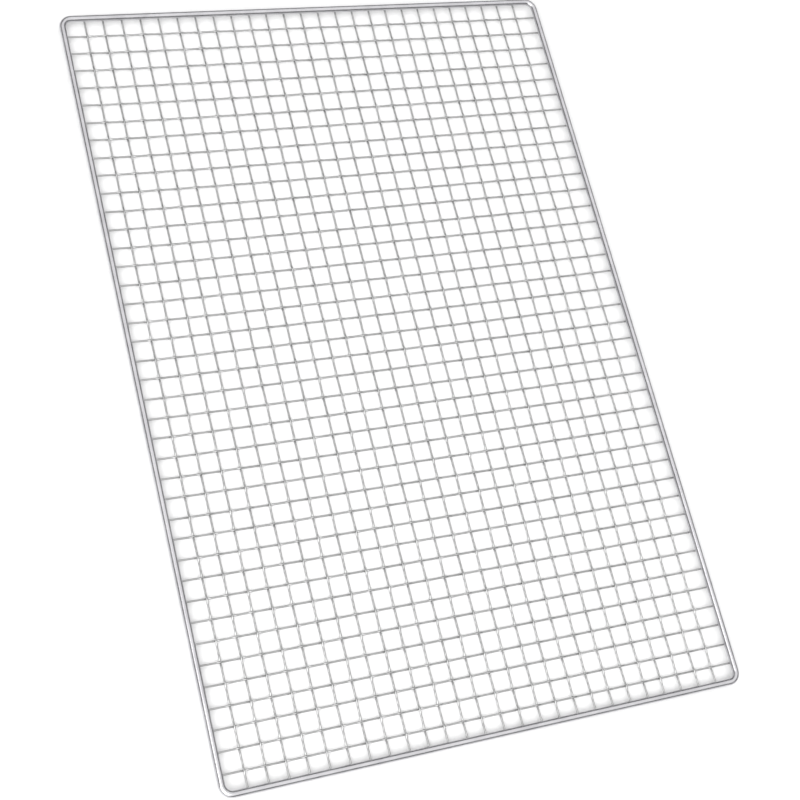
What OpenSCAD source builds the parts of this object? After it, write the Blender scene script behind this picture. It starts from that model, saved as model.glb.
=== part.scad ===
// Bakery cooling rack: a woven wire mesh welded to the underside of a round-rod frame.
// The long side runs along Y, the short side along X, and the mesh rests on z = 0.

/* [Frame] */
// Overall width of the rack, across its short side
overall_w = 410; // [300:1:500]
// Overall length of the rack, along its long side
overall_l = 600; // [450:1:700]
// Diameter of the frame rod
rod_d = 5; // [4:0.1:6]
// Outer radius of the frame's corners
corner_r = 10; // [8:0.5:14]

/* [Mesh] */
// Diameter of the mesh wires
wire_d = 1.4; // [0.8:0.1:1.6]
// Number of wires that run along the length
long_count = 26; // [12:2:40]
// Number of wires that run across the width
cross_count = 39; // [21:2:45]
// From the frame's outer side edge to the first long wire
side_margin = 20.4; // [16:0.1:26]
// From the frame's outer end edge to the first cross wire
end_margin = 16.4; // [15:0.1:26]
// Gap between two wires where they cross
crossing_gap = 0.02; // [0.02:0.01:0.1]
// How far the middle of the mesh hangs below the wires' tips
mesh_drop = 1.5; // [0:0.1:2.5]
// From a wire's tip to the frame's outer edge
tip_inset = 0.5; // [0.2:0.1:1]

/* [Hidden] */
$fn = 32;

// Spacing of the long wires and of the cross wires
long_pitch = (overall_w - 2 * side_margin) / (long_count - 1);
cross_pitch = (overall_l - 2 * end_margin) / (cross_count - 1);

// A bend in a wire is a ball a hair wider than the wire, which swallows the ends of the
// straight stretches that meet there
knuckle_d = wire_d * 1.05;
knuckle_setback = wire_d * 0.12;

// How far a wire's centreline swings above and below the middle of the mesh
swing = (knuckle_d + crossing_gap) / 2;
// Height of the middle of the mesh, of the wire tips, and of the frame rod that lies on them
mesh_z = swing + knuckle_d / 2;
tip_z = mesh_z + mesh_drop;
rod_z = tip_z + (wire_d + rod_d) / 2;

// The long wires are grouped in side-by-side pairs, so that the whole rack stays in few files
pair_count = long_count / 2;

function two_digits(n) = n < 10 ? str("0", n) : str(n);
function cross_name(j) = str("cross_wire_", two_digits(j + 1));
function pair_name(p) = str("long_wires_", two_digits(p + 1));

// +1 where a wire passes over at its crossing number k, -1 where it passes under.
// The first crossing is over when first is +1, and the wire alternates from there.
function side_at(k, first) = k % 2 == 0 ? first : -first;

// Where long wire i crosses X, and where cross wire j crosses Y
function long_x(i) = (i - (long_count - 1) / 2) * long_pitch;
function cross_y(j) = (j - (cross_count - 1) / 2) * cross_pitch;

// The points that a woven wire runs through, in the XZ plane, with its crossings centred on
// x = 0. Each end rises from the last crossing to the frame rod, and lies along its underside.
function wire_points(crossings, pitch, first, tip_x) =
    let (
        end_x = (crossings - 1) / 2 * pitch,
        rod_x = tip_x + tip_inset - rod_d
    )
    concat(
        [[-tip_x, tip_z], [-rod_x, tip_z]],
        [for (k = [0 : crossings - 1]) [k * pitch - end_x, mesh_z + swing * side_at(k, first)]],
        [[rod_x, tip_z], [tip_x, tip_z]]
    );

// The wire from point k of a list onwards, along +Z, turned from the heading before it.
// A straight stretch stops just short of each bend, inside the knuckle there, and runs to
// the end of the list, where the wire is cut off square.
module wire_from(points, k, heading) {
    step = points[k + 1] - points[k];
    angle = atan2(step.y, step.x);
    is_last = k == len(points) - 2;
    stop = norm(step) - (is_last ? 0 : knuckle_setback);
    rotate([0, heading - angle, 0]) {
        translate([0, 0, knuckle_setback])
            cylinder(d = wire_d, h = stop - knuckle_setback);
        if (!is_last)
            translate([0, 0, norm(step)]) {
                sphere(d = knuckle_d);
                wire_from(points, k + 1, angle);
            }
    }
}

// A whole woven wire along X, laid out from its middle knuckle towards both ends. Every
// knuckle's ball is turned to the straight before it, so that its seam meets that straight
// squarely, and the middle one to the straight after it.
module woven_wire(crossings, pitch, first, tip_x) {
    points = wire_points(crossings, pitch, first, tip_x);
    middle = floor(len(points) / 2);
    ahead = points[middle + 1] - points[middle];
    translate([points[middle].x, 0, points[middle].y]) {
        rotate([0, 90 - atan2(ahead.y, ahead.x), 0])
            sphere(d = knuckle_d);
        wire_from([for (k = [middle : len(points) - 1]) points[k]], 0, 90);
        wire_from([for (k = [middle : -1 : 0]) points[k]], 0, 90);
    }
}

// A corner of the frame, drawn in the +X +Y quadrant
module frame_corner() {
    translate([overall_w / 2 - corner_r, overall_l / 2 - corner_r, rod_z])
        rotate_extrude(angle = 90)
            translate([corner_r - rod_d / 2, 0])
                circle(d = rod_d);
}

// The closed ring of round rod
module frame() {
    straight_w = overall_w - 2 * corner_r;
    straight_l = overall_l - 2 * corner_r;
    color("silver") {
        for (side = [-1, 1]) {
            translate([side * (overall_w - rod_d) / 2, straight_l / 2, rod_z])
                rotate([90, 0, 0])
                    cylinder(d = rod_d, h = straight_l);
            translate([-straight_w / 2, side * (overall_l - rod_d) / 2, rod_z])
                rotate([0, 90, 0])
                    cylinder(d = rod_d, h = straight_w);
        }
        for (mx = [0, 1])
            for (my = [0, 1])
                mirror([mx, 0, 0])
                    mirror([0, my, 0])
                        frame_corner();
    }
}

// Cross wire j, which runs across the width
module cross_wire(j) {
    color("lightgray")
        translate([0, cross_y(j), 0])
            woven_wire(long_count, long_pitch, side_at(j, -1), overall_w / 2 - tip_inset);
}

// Long wire i, which runs along the length and is over where the cross wires are under
module long_wire(i) {
    translate([long_x(i), 0, 0])
        rotate([0, 0, 90])
            woven_wire(cross_count, cross_pitch, side_at(i, 1), overall_l / 2 - tip_inset);
}

// Two neighbouring long wires
module long_wire_pair(p) {
    color("gainsboro") {
        long_wire(2 * p);
        long_wire(2 * p + 1);
    }
}

frame();
for (j = [0 : cross_count - 1])
    cross_wire(j);
for (p = [0 : pair_count - 1])
    long_wire_pair(p);
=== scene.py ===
"""Looks of a bakery cooling rack: a woven wire mesh under a round-rod frame.

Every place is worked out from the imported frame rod. Units are metres. X runs across the
rack's short side, Y along its long side, and the mesh rests on Z = 0.
"""

import math

import bpy
import numpy as np
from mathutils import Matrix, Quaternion, Vector


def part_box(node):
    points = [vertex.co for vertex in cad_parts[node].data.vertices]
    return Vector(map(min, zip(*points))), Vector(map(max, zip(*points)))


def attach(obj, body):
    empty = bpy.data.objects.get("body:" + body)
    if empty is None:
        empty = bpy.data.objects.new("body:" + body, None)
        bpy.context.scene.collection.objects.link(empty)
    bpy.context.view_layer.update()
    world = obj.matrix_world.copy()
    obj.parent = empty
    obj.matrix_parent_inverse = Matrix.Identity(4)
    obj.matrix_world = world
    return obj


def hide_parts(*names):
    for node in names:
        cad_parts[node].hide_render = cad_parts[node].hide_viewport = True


# The mesh: how many wires, and where the first ones lie
LONG_COUNT = 26
CROSS_COUNT = 39
SIDE_MARGIN = 0.0204  # from the frame's outer side edge to the first long wire
END_MARGIN = 0.0164  # from the frame's outer end edge to the first cross wire
TIP_INSET = 0.0011  # from a wire's tip to the frame's outer edge
MESH_HEIGHT = 0.00148  # height of the middle of the mesh, far from the frame
WIRE_RADIUS = 0.0007
TIP_CHAMFER = 0.00012

# How a wire swings about the middle of the mesh: the harmonics of the two-cell weave, which
# add up to a swing that just clears the wire it crosses. The fifth is the crimp that shows
# between crossings.
SWINGS = {1: 0.00034, 3: 0.00020, 5: 0.00017}

# How far the mesh rises beside the frame rod, and the distance over which that fades
EDGE_RISE = 0.0015
EDGE_FADE = 0.045

# Hand-made unevenness of the mesh
SEED = 11
END_SCATTER = 0.00020  # how far a wire's ends are off their even spacing
BOW_SCATTER = 0.00025  # how far the middle of a wire bows sideways

# A wire's weld to the frame rod
WELD_SINK = 0.00022  # how far the wire is pressed into the underside of the rod
WELD_HALF_LENGTH = 0.0011
WELD_SQUASH = 0.12  # the share of its thickness that the wire loses there

# The frame rod
CORNER_RADIUS = 0.010  # measured to the outside of the rod

# Meshing
WIRE_SIDES = 10
WIRE_RINGS_PER_CELL = 20
ROD_SIDES = 40
CORNER_RINGS = 28
SIDE_RINGS = 24

# Materials
LINE_STRETCH = (90.0, 9000.0, 1.0)  # drawing lines: long along the wire, fine across it
LINE_DETAIL = 3.0
PATCH_SCALE = 70.0
PATCH_DETAIL = 4.0
NOISE_LOW = 0.3  # the part of the noise that the tones run over
NOISE_HIGH = 0.7
BUMP_STRENGTH = 0.5
FLOOR_SIZE = 12.0
FLOOR_SCALE = 3.0
FLOOR_ROUGHNESS = 0.9
FLOOR_SHINE = 0.1
FLOOR_DARK = (0.90, 0.90, 0.90, 1.0)
FLOOR_LIGHT = (0.92, 0.92, 0.92, 1.0)

# Camera
CAMERA_PLACE = Vector((-0.4594, -0.3765, 1.0744))
CAMERA_AIM = Vector((-0.0062, -0.0395, 0.0))
CAMERA_ROLL = math.radians(42.2)
CAMERA_LENS = 72.3  # millimetres, on a 36 mm sensor
SENSOR_WIDTH = 36.0

# Light: powers in watts, sizes in metres
OVERHEAD_PLACE = Vector((0, 0, 2.2))
OVERHEAD_SIZE = 5.0
OVERHEAD_POWER = 78.0
KEY_PLACE = Vector((-1.7, -1.4, 2.2))
KEY_SIZE = 3.0
KEY_POWER = 85.0
LIGHT_AIM = Vector((0, 0, 0))
SKY_STRENGTH = 0.45


# ---------------------------------------------------------------- meshes


def smooth_step(t):
    """0 to 1 with a level start and end."""
    t = np.clip(t, 0.0, 1.0)
    return t * t * (3.0 - 2.0 * t)


def unit(vectors):
    """Rows scaled to length 1."""
    return vectors / np.linalg.norm(vectors, axis=1)[:, None]


def tube(name, line, side, widths, heights, sides, closed):
    """A smooth tube along a line, with its seam on the underside and UVs in metres.

    side points sideways out of the line, one row per point or one for all. widths and
    heights are half the tube's size along side and square to it.
    """
    rings = len(line)
    ahead = unit(np.gradient(line, axis=0))
    if closed:
        ahead = unit(np.roll(line, -1, axis=0) - np.roll(line, 1, axis=0))
    side = np.broadcast_to(side, line.shape)
    up = unit(np.cross(side, ahead))
    turns = np.linspace(-0.5 * math.pi, 1.5 * math.pi, sides, endpoint=False)
    points = (
        line[:, None, :]
        + np.cos(turns)[None, :, None] * (widths[:, None] * side)[:, None, :]
        + np.sin(turns)[None, :, None] * (heights[:, None] * up)[:, None, :]
    ).reshape(-1, 3)

    steps = rings if closed else rings - 1
    ring, spot = np.meshgrid(np.arange(steps), np.arange(sides), indexing="ij")
    ring, spot = ring.ravel(), spot.ravel()
    next_ring, next_spot = (ring + 1) % rings, (spot + 1) % sides
    corners = [(ring, spot), (next_ring, spot), (next_ring, next_spot), (ring, next_spot)]
    faces = np.stack([r * sides + s for r, s in corners], axis=1).tolist()

    ends = np.roll(line, -1, axis=0) if closed else line[1:]
    lengths = np.linalg.norm(ends - line[:steps], axis=1)
    along = np.concatenate([[0.0], np.cumsum(lengths)])
    girth = 2 * math.pi * (widths.mean() + heights.mean()) / 2 / sides
    u = np.stack([along[ring], along[ring + 1], along[ring + 1], along[ring]], axis=1)
    v = np.stack([spot, spot, spot + 1, spot + 1], axis=1) * girth
    uvs = np.stack([u, v], axis=2).reshape(-1, 2)
    if not closed:
        faces += [list(range(sides)), list(range(rings * sides - 1, rings * sides - sides - 1, -1))]
        uvs = np.concatenate([uvs, np.zeros((2 * sides, 2))])

    mesh = bpy.data.meshes.new(name)
    mesh.from_pydata(points.tolist(), [], faces)
    mesh.uv_layers.new(name="lengthwise").data.foreach_set("uv", uvs.ravel())
    mesh.shade_smooth()
    piece = bpy.data.objects.new(name, mesh)
    bpy.context.scene.collection.objects.link(piece)
    return piece


# ---------------------------------------------------------------- the weave


def even_places(count, span, margin):
    """Evenly spaced places, centred on 0."""
    return np.linspace(-span / 2 + margin, span / 2 - margin, count)


def bowed(place, scatter, bow, along):
    """Where an uneven wire is, sideways, at stations along it from -1 to 1."""
    return place + scatter[0] * (1 - along) / 2 + scatter[1] * (1 + along) / 2 + bow * (1 - along**2)


def swing(phase, first_side):
    """Height above the middle of the mesh. The phase is 0, 1, 2... at the crossings."""
    return first_side * sum(depth * np.cos(n * math.pi * phase) for n, depth in SWINGS.items())


class Weave:
    """Where every wire of the mesh runs."""

    def __init__(self, low, high):
        chance = np.random.default_rng(SEED)
        self.width = high.x - low.x
        self.length = high.y - low.y
        self.rod = high.z - low.z
        self.rod_underside = low.z
        self.long_x = even_places(LONG_COUNT, self.width, SIDE_MARGIN)
        self.cross_y = even_places(CROSS_COUNT, self.length, END_MARGIN)
        self.long_ends = chance.normal(0, END_SCATTER, (LONG_COUNT, 2))
        self.cross_ends = chance.normal(0, END_SCATTER, (CROSS_COUNT, 2))
        self.long_bow = chance.normal(0, BOW_SCATTER, LONG_COUNT)
        self.cross_bow = chance.normal(0, BOW_SCATTER, CROSS_COUNT)

    def long_at(self, i, y):
        """X of long wire i at Y."""
        return bowed(self.long_x[i], self.long_ends[i], self.long_bow[i], 2 * y / self.length)

    def cross_at(self, j, x):
        """Y of cross wire j at X."""
        return bowed(self.cross_y[j], self.cross_ends[j], self.cross_bow[j], 2 * x / self.width)

    def stations(self, span, cells):
        """Places along a wire. The outermost pair at each end makes the chamfer."""
        tip = span / 2 - TIP_INSET
        inner = tip - TIP_CHAMFER
        return np.concatenate([[-tip], np.linspace(-inner, inner, cells * WIRE_RINGS_PER_CELL), [tip]])

    def dip(self, x, y):
        """Height of the middle of the mesh, which is lowest at the centre of the rack."""
        from_side = self.width / 2 - self.rod - np.abs(x)
        from_end = self.length / 2 - self.rod - np.abs(y)
        near_side = np.exp(-from_side / EDGE_FADE)
        near_end = np.exp(-from_end / EDGE_FADE)
        return MESH_HEIGHT + EDGE_RISE * (near_side + near_end - near_side * near_end)

    def height(self, stations, middle, crossings, first_side, span):
        """Height of a wire's centreline, woven about the middle and held under the rod at its ends."""
        pitch = (crossings[-1] - crossings[0]) / (len(crossings) - 1)
        known = np.concatenate([[crossings[0] - 2 * pitch], crossings, [crossings[-1] + 2 * pitch]])
        numbers = np.concatenate([[-2], np.arange(len(crossings)), [len(crossings) + 1]])
        phase = np.interp(stations, known, numbers)
        rod_inside = span / 2 - self.rod
        held = smooth_step((crossings[0] - stations) / (crossings[0] + rod_inside))
        held = held + smooth_step((stations - crossings[-1]) / (rod_inside - crossings[-1]))
        woven = middle + swing(phase, first_side)
        return (1 - held) * woven + held * (self.rod_underside - WIRE_RADIUS + WELD_SINK)

    def piece(self, name, line, stations, side, span):
        """A wire along a line, squashed where it is welded to the rod."""
        from_weld = np.abs(np.abs(stations) - (span / 2 - self.rod / 2))
        squash = WELD_SQUASH * np.exp(-((from_weld / WELD_HALF_LENGTH) ** 2))
        radii = np.full(len(line), WIRE_RADIUS)
        radii[[0, -1]] -= TIP_CHAMFER
        return tube(name, line, side, radii * (1 + squash), radii * (1 - squash), WIRE_SIDES, False)

    def long_wire(self, i):
        """Long wire i. It is over at its first crossing if i is even."""
        y = self.stations(self.length, CROSS_COUNT + 1)
        crossings = np.array([self.cross_at(j, self.long_x[i]) for j in range(CROSS_COUNT)])
        x = self.long_at(i, y)
        z = self.height(y, self.dip(x, y), crossings, 1 if i % 2 == 0 else -1, self.length)
        line = np.stack([x, y, z], axis=1)
        return self.piece(f"long_wire_look_{i + 1:02d}", line, y, np.array([1.0, 0, 0]), self.length)

    def cross_wire(self, j):
        """Cross wire j. It is under at its first crossing if j is even."""
        x = self.stations(self.width, LONG_COUNT + 1)
        crossings = np.array([self.long_at(i, self.cross_y[j]) for i in range(LONG_COUNT)])
        y = self.cross_at(j, x)
        z = self.height(x, self.dip(x, y), crossings, -1 if j % 2 == 0 else 1, self.width)
        line = np.stack([x, y, z], axis=1)
        return self.piece(f"cross_wire_look_{j + 1:02d}", line, x, np.array([0, -1.0, 0]), self.width)


# ---------------------------------------------------------------- the frame


def frame_ring(low, high):
    """The closed ring of round rod."""
    radius = (high.z - low.z) / 2
    bend = CORNER_RADIUS - radius
    line, outward = [], []
    for quarter, (right, back) in enumerate(((1, 1), (-1, 1), (-1, -1), (1, -1))):
        angles = math.pi / 2 * (quarter + np.linspace(0, 1, CORNER_RINGS))
        radial = np.stack([np.cos(angles), np.sin(angles), 0 * angles], axis=1)
        pivot = np.array([
            right * ((high.x - low.x) / 2 - CORNER_RADIUS),
            back * ((high.y - low.y) / 2 - CORNER_RADIUS),
            low.z + radius,
        ])
        corner = pivot + bend * radial
        side_length = (high.y - low.y if quarter % 2 else high.x - low.x) - 2 * CORNER_RADIUS
        ahead = np.array([-radial[-1][1], radial[-1][0], 0])
        gone = np.linspace(0, side_length, SIDE_RINGS)[1:-1, None]
        line += [corner, corner[-1] + gone * ahead]
        outward += [radial, np.broadcast_to(radial[-1], (SIDE_RINGS - 2, 3))]
    line, outward = np.concatenate(line), np.concatenate(outward)
    radii = np.full(len(line), radius)
    return tube("frame_look", line, outward, radii, radii, ROD_SIDES, True)


# ---------------------------------------------------------------- materials


def drawn_steel(name, dark, light, roughness, spread, line_depth):
    """Bright drawn steel. Fine drawing lines run along the rod or wire, over soft patches."""
    material = bpy.data.materials.new(name)
    material.use_nodes = True
    nodes, links = material.node_tree.nodes, material.node_tree.links
    shader = nodes["Principled BSDF"]
    shader.inputs["Metallic"].default_value = 1.0

    uv = nodes.new("ShaderNodeUVMap")
    uv.uv_map = "lengthwise"
    stretch = nodes.new("ShaderNodeMapping")
    stretch.inputs["Scale"].default_value = LINE_STRETCH
    links.new(uv.outputs["UV"], stretch.inputs["Vector"])
    lines = nodes.new("ShaderNodeTexNoise")
    lines.inputs["Scale"].default_value = 1.0
    lines.inputs["Detail"].default_value = LINE_DETAIL
    links.new(stretch.outputs["Vector"], lines.inputs["Vector"])

    place = nodes.new("ShaderNodeTexCoord")
    patches = nodes.new("ShaderNodeTexNoise")
    patches.inputs["Scale"].default_value = PATCH_SCALE
    patches.inputs["Detail"].default_value = PATCH_DETAIL
    links.new(place.outputs["Object"], patches.inputs["Vector"])

    tone = nodes.new("ShaderNodeValToRGB")
    tone.color_ramp.elements[0].position = NOISE_LOW
    tone.color_ramp.elements[0].color = (*dark, 1.0)
    tone.color_ramp.elements[1].position = NOISE_HIGH
    tone.color_ramp.elements[1].color = (*light, 1.0)
    links.new(patches.outputs["Fac"], tone.inputs["Fac"])
    links.new(tone.outputs["Color"], shader.inputs["Base Color"])

    rough = nodes.new("ShaderNodeMapRange")
    rough.inputs["From Min"].default_value = NOISE_LOW
    rough.inputs["From Max"].default_value = NOISE_HIGH
    rough.inputs["To Min"].default_value = roughness - spread
    rough.inputs["To Max"].default_value = roughness + spread
    links.new(lines.outputs["Fac"], rough.inputs["Value"])
    links.new(rough.outputs["Result"], shader.inputs["Roughness"])

    bump = nodes.new("ShaderNodeBump")
    bump.inputs["Strength"].default_value = BUMP_STRENGTH
    bump.inputs["Distance"].default_value = line_depth
    links.new(lines.outputs["Fac"], bump.inputs["Height"])
    links.new(bump.outputs["Normal"], shader.inputs["Normal"])
    return material


def floor_material():
    """A plain pale floor with a faint unevenness."""
    material = bpy.data.materials.new("pale_floor")
    material.use_nodes = True
    nodes, links = material.node_tree.nodes, material.node_tree.links
    shader = nodes["Principled BSDF"]
    shader.inputs["Roughness"].default_value = FLOOR_ROUGHNESS
    shader.inputs["Specular IOR Level"].default_value = FLOOR_SHINE
    place = nodes.new("ShaderNodeTexCoord")
    noise = nodes.new("ShaderNodeTexNoise")
    noise.inputs["Scale"].default_value = FLOOR_SCALE
    tone = nodes.new("ShaderNodeValToRGB")
    tone.color_ramp.elements[0].color = FLOOR_DARK
    tone.color_ramp.elements[1].color = FLOOR_LIGHT
    links.new(place.outputs["Object"], noise.inputs["Vector"])
    links.new(noise.outputs["Fac"], tone.inputs["Fac"])
    links.new(tone.outputs["Color"], shader.inputs["Base Color"])
    return material


# ---------------------------------------------------------------- the studio


def area_light(name, place, aim, size, power):
    """A square soft light that points at a place."""
    data = bpy.data.lights.new(name, "AREA")
    data.shape = "SQUARE"
    data.size = size
    data.energy = power
    lamp = bpy.data.objects.new(name, data)
    lamp.location = place
    lamp.rotation_mode = "QUATERNION"
    lamp.rotation_quaternion = (aim - place).to_track_quat("-Z", "Y")
    bpy.context.scene.collection.objects.link(lamp)
    return lamp


def studio():
    """A pale floor, soft light from above, and dim surroundings."""
    bpy.ops.mesh.primitive_plane_add(size=FLOOR_SIZE)
    floor = bpy.context.object
    floor.name = "floor"
    floor.data.materials.append(floor_material())

    area_light("overhead", OVERHEAD_PLACE, LIGHT_AIM, OVERHEAD_SIZE, OVERHEAD_POWER)
    area_light("key", KEY_PLACE, LIGHT_AIM, KEY_SIZE, KEY_POWER)

    world = bpy.data.worlds.new("surroundings")
    world.use_nodes = True
    sky = world.node_tree.nodes["Background"]
    sky.inputs["Color"].default_value = (0.5, 0.5, 0.5, 1.0)
    sky.inputs["Strength"].default_value = SKY_STRENGTH
    bpy.context.scene.world = world
    bpy.context.scene.view_settings.view_transform = "Standard"


def camera():
    """Looks down at the rack from beyond its front left corner."""
    data = bpy.data.cameras.new("camera")
    data.lens = CAMERA_LENS
    data.sensor_width = SENSOR_WIDTH
    data.clip_end = 50.0
    eye = bpy.data.objects.new("camera", data)
    eye.location = CAMERA_PLACE
    eye.rotation_mode = "QUATERNION"
    level = (CAMERA_AIM - CAMERA_PLACE).to_track_quat("-Z", "Y")
    eye.rotation_quaternion = level @ Quaternion((0, 0, 1), CAMERA_ROLL)
    bpy.context.scene.collection.objects.link(eye)
    bpy.context.scene.camera = eye


# ---------------------------------------------------------------- the rack


def fit_out(piece, material, node):
    """Gives a piece its material, and puts it in its CAD node's place."""
    piece.data.materials.append(material)
    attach(piece, "root")
    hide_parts(node)


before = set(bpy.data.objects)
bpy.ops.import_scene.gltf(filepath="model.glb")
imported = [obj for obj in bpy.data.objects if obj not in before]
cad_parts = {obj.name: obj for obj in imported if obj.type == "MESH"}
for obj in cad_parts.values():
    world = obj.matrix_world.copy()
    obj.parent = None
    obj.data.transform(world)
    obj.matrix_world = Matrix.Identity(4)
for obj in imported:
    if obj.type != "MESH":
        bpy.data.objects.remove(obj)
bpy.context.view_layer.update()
rod_low, rod_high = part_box("frame")

rod_steel = drawn_steel(
    "rod_steel",
    dark=(0.52, 0.515, 0.535),
    light=(0.62, 0.615, 0.635),
    roughness=0.27,
    spread=0.05,
    line_depth=0.000010,
)
wire_steel = drawn_steel(
    "wire_steel",
    dark=(0.42, 0.42, 0.42),
    light=(0.54, 0.54, 0.54),
    roughness=0.33,
    spread=0.07,
    line_depth=0.000012,
)

fit_out(frame_ring(rod_low, rod_high), rod_steel, "frame")
weave = Weave(rod_low, rod_high)
for i in range(LONG_COUNT):
    fit_out(weave.long_wire(i), wire_steel, f"long_wires_{i // 2 + 1:02d}")
for j in range(CROSS_COUNT):
    fit_out(weave.cross_wire(j), wire_steel, f"cross_wire_{j + 1:02d}")

studio()
camera()
